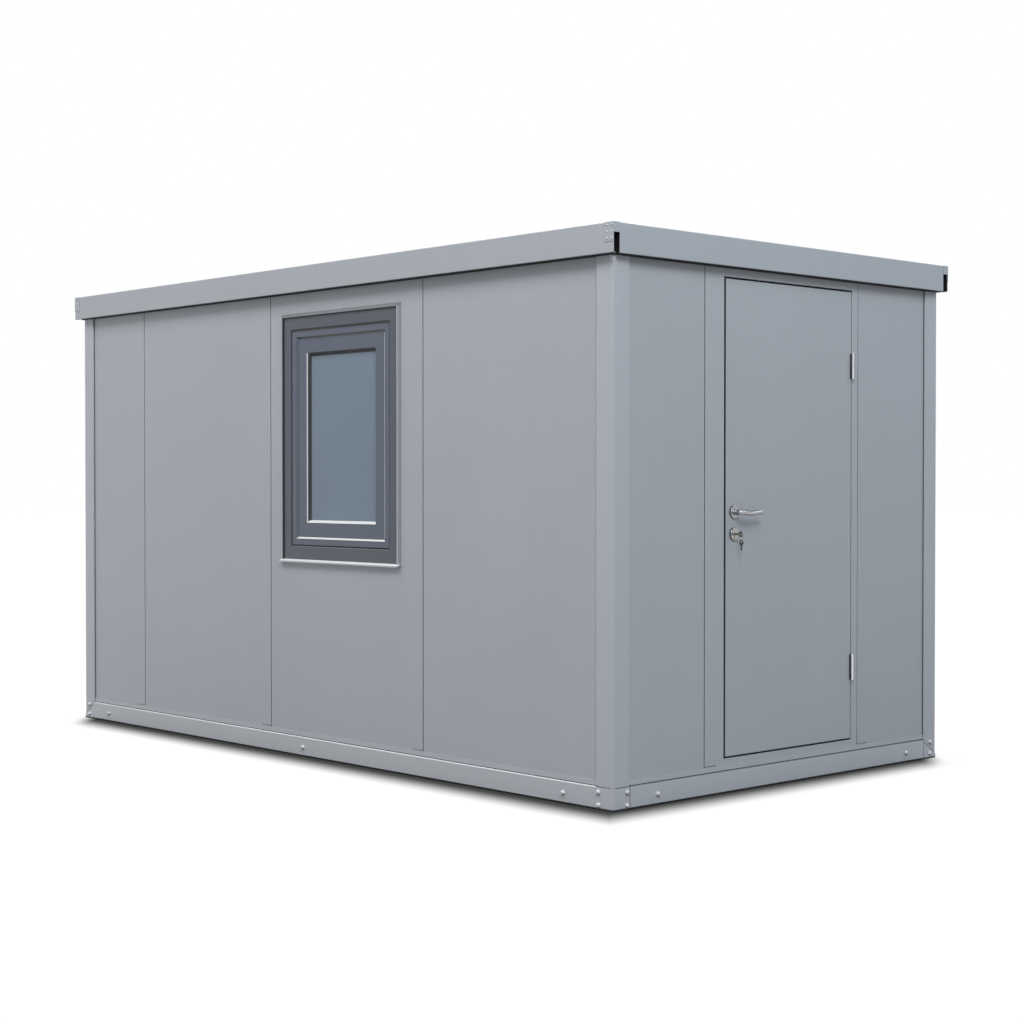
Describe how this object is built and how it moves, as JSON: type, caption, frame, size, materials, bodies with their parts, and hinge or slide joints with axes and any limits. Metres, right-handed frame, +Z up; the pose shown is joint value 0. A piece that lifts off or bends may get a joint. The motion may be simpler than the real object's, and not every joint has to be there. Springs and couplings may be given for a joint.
{
  "type": "office cabin",
  "caption": "Flat-pack office cabin of light grey sandwich panels on a folded steel base, with a dark framed window and an outward-opening door with lever and keyed lock.",
  "frame": {"origin": "on the ground under the middle of the cabin", "axes": "+X along the length towards the end wall with the door, +Z up, the window in the long wall on the -Y side"},
  "size_m": [4.1184, 2.239, 2.3],
  "materials": {
    "wall_panel": "satin coil-coated sheet, light grey",
    "door_skin": "satin coil-coated sheet, light grey",
    "frame_steel": "satin powder coat, light grey",
    "roof_sheet": "satin coil-coated sheet, light grey",
    "galvanised_steel": "galvanised",
    "floor_board": "grey sheet flooring on board",
    "window_plastic": "satin anthracite profile",
    "window_glass": "clear insulating glass",
    "light_trim": "satin light grey",
    "satin_steel": "satin stainless",
    "hinge_steel": "satin stainless",
    "lock_metal": "nickel-plated brass"
  },
  "bodies": {
    "cabin": {"back_wall_panels": "wall_panel", "base_rail_back": "frame_steel", "base_rail_door_end": "frame_steel", "base_rail_far_end": "frame_steel", "base_rail_front": "frame_steel", "corner_foot_back_door": "frame_steel", "corner_foot_back_far": "frame_steel", "corner_foot_front_door": "frame_steel", "corner_foot_front_far": "frame_steel", "corner_post_back_door": "frame_steel", "corner_post_back_far": "frame_steel", "corner_post_front_door": "frame_steel", "corner_post_front_far": "frame_steel", "door_end_panel_left": "wall_panel", "door_end_panel_right": "wall_panel", "door_head": "wall_panel", "door_hinges_jamb_side": "hinge_steel", "door_jamb_hinge_side": "wall_panel", "door_jamb_lock_side": "wall_panel", "door_sill": "wall_panel", "end_fascia_door": "frame_steel", "end_fascia_far": "frame_steel", "far_end_panels": "wall_panel", "floor_deck": "floor_board", "floor_joists": "galvanised_steel", "front_panel_door_side": "wall_panel", "front_panel_far": "wall_panel", "front_panel_middle": "wall_panel", "front_panel_window": "wall_panel", "gutter_fascia_back": "frame_steel", "gutter_fascia_front": "frame_steel", "roof_corner_plates": "frame_steel", "roof_panels": "roof_sheet", "wall_channels": "frame_steel", "window_frame": "window_plastic", "window_glass": "window_glass", "window_handle": "satin_steel", "window_sash": "window_plastic", "window_trim": "light_trim"},
    "door": {"door_leaf": "door_skin", "door_hinges_leaf_side": "hinge_steel", "handle_roses": "satin_steel", "lock_cylinder": "lock_metal"},
    "lever": {"lever_handle": "satin_steel"},
    "key": {"key_set": "lock_metal"}
  },
  "joints": [
    {"name": "door_hinge", "type": "hinge", "parent": "cabin", "child": "door", "pos_m": [2.02, 0.4425, 1.1], "axis": [0, 0, 1], "range_deg": [0, 110]},
    {"name": "lever_turn", "type": "hinge", "parent": "door", "child": "lever", "pos_m": [2.01, -0.355, 1.167], "axis": [-1, 0, 0], "range_deg": [0, 35], "stiffness_Nm_per_rad": 1.2, "springref_deg": -28.65},
    {"name": "key_turn", "type": "hinge", "parent": "door", "child": "key", "pos_m": [2.01, -0.355, 1.075], "axis": [1, 0, 0], "continuous": true}
  ]
}
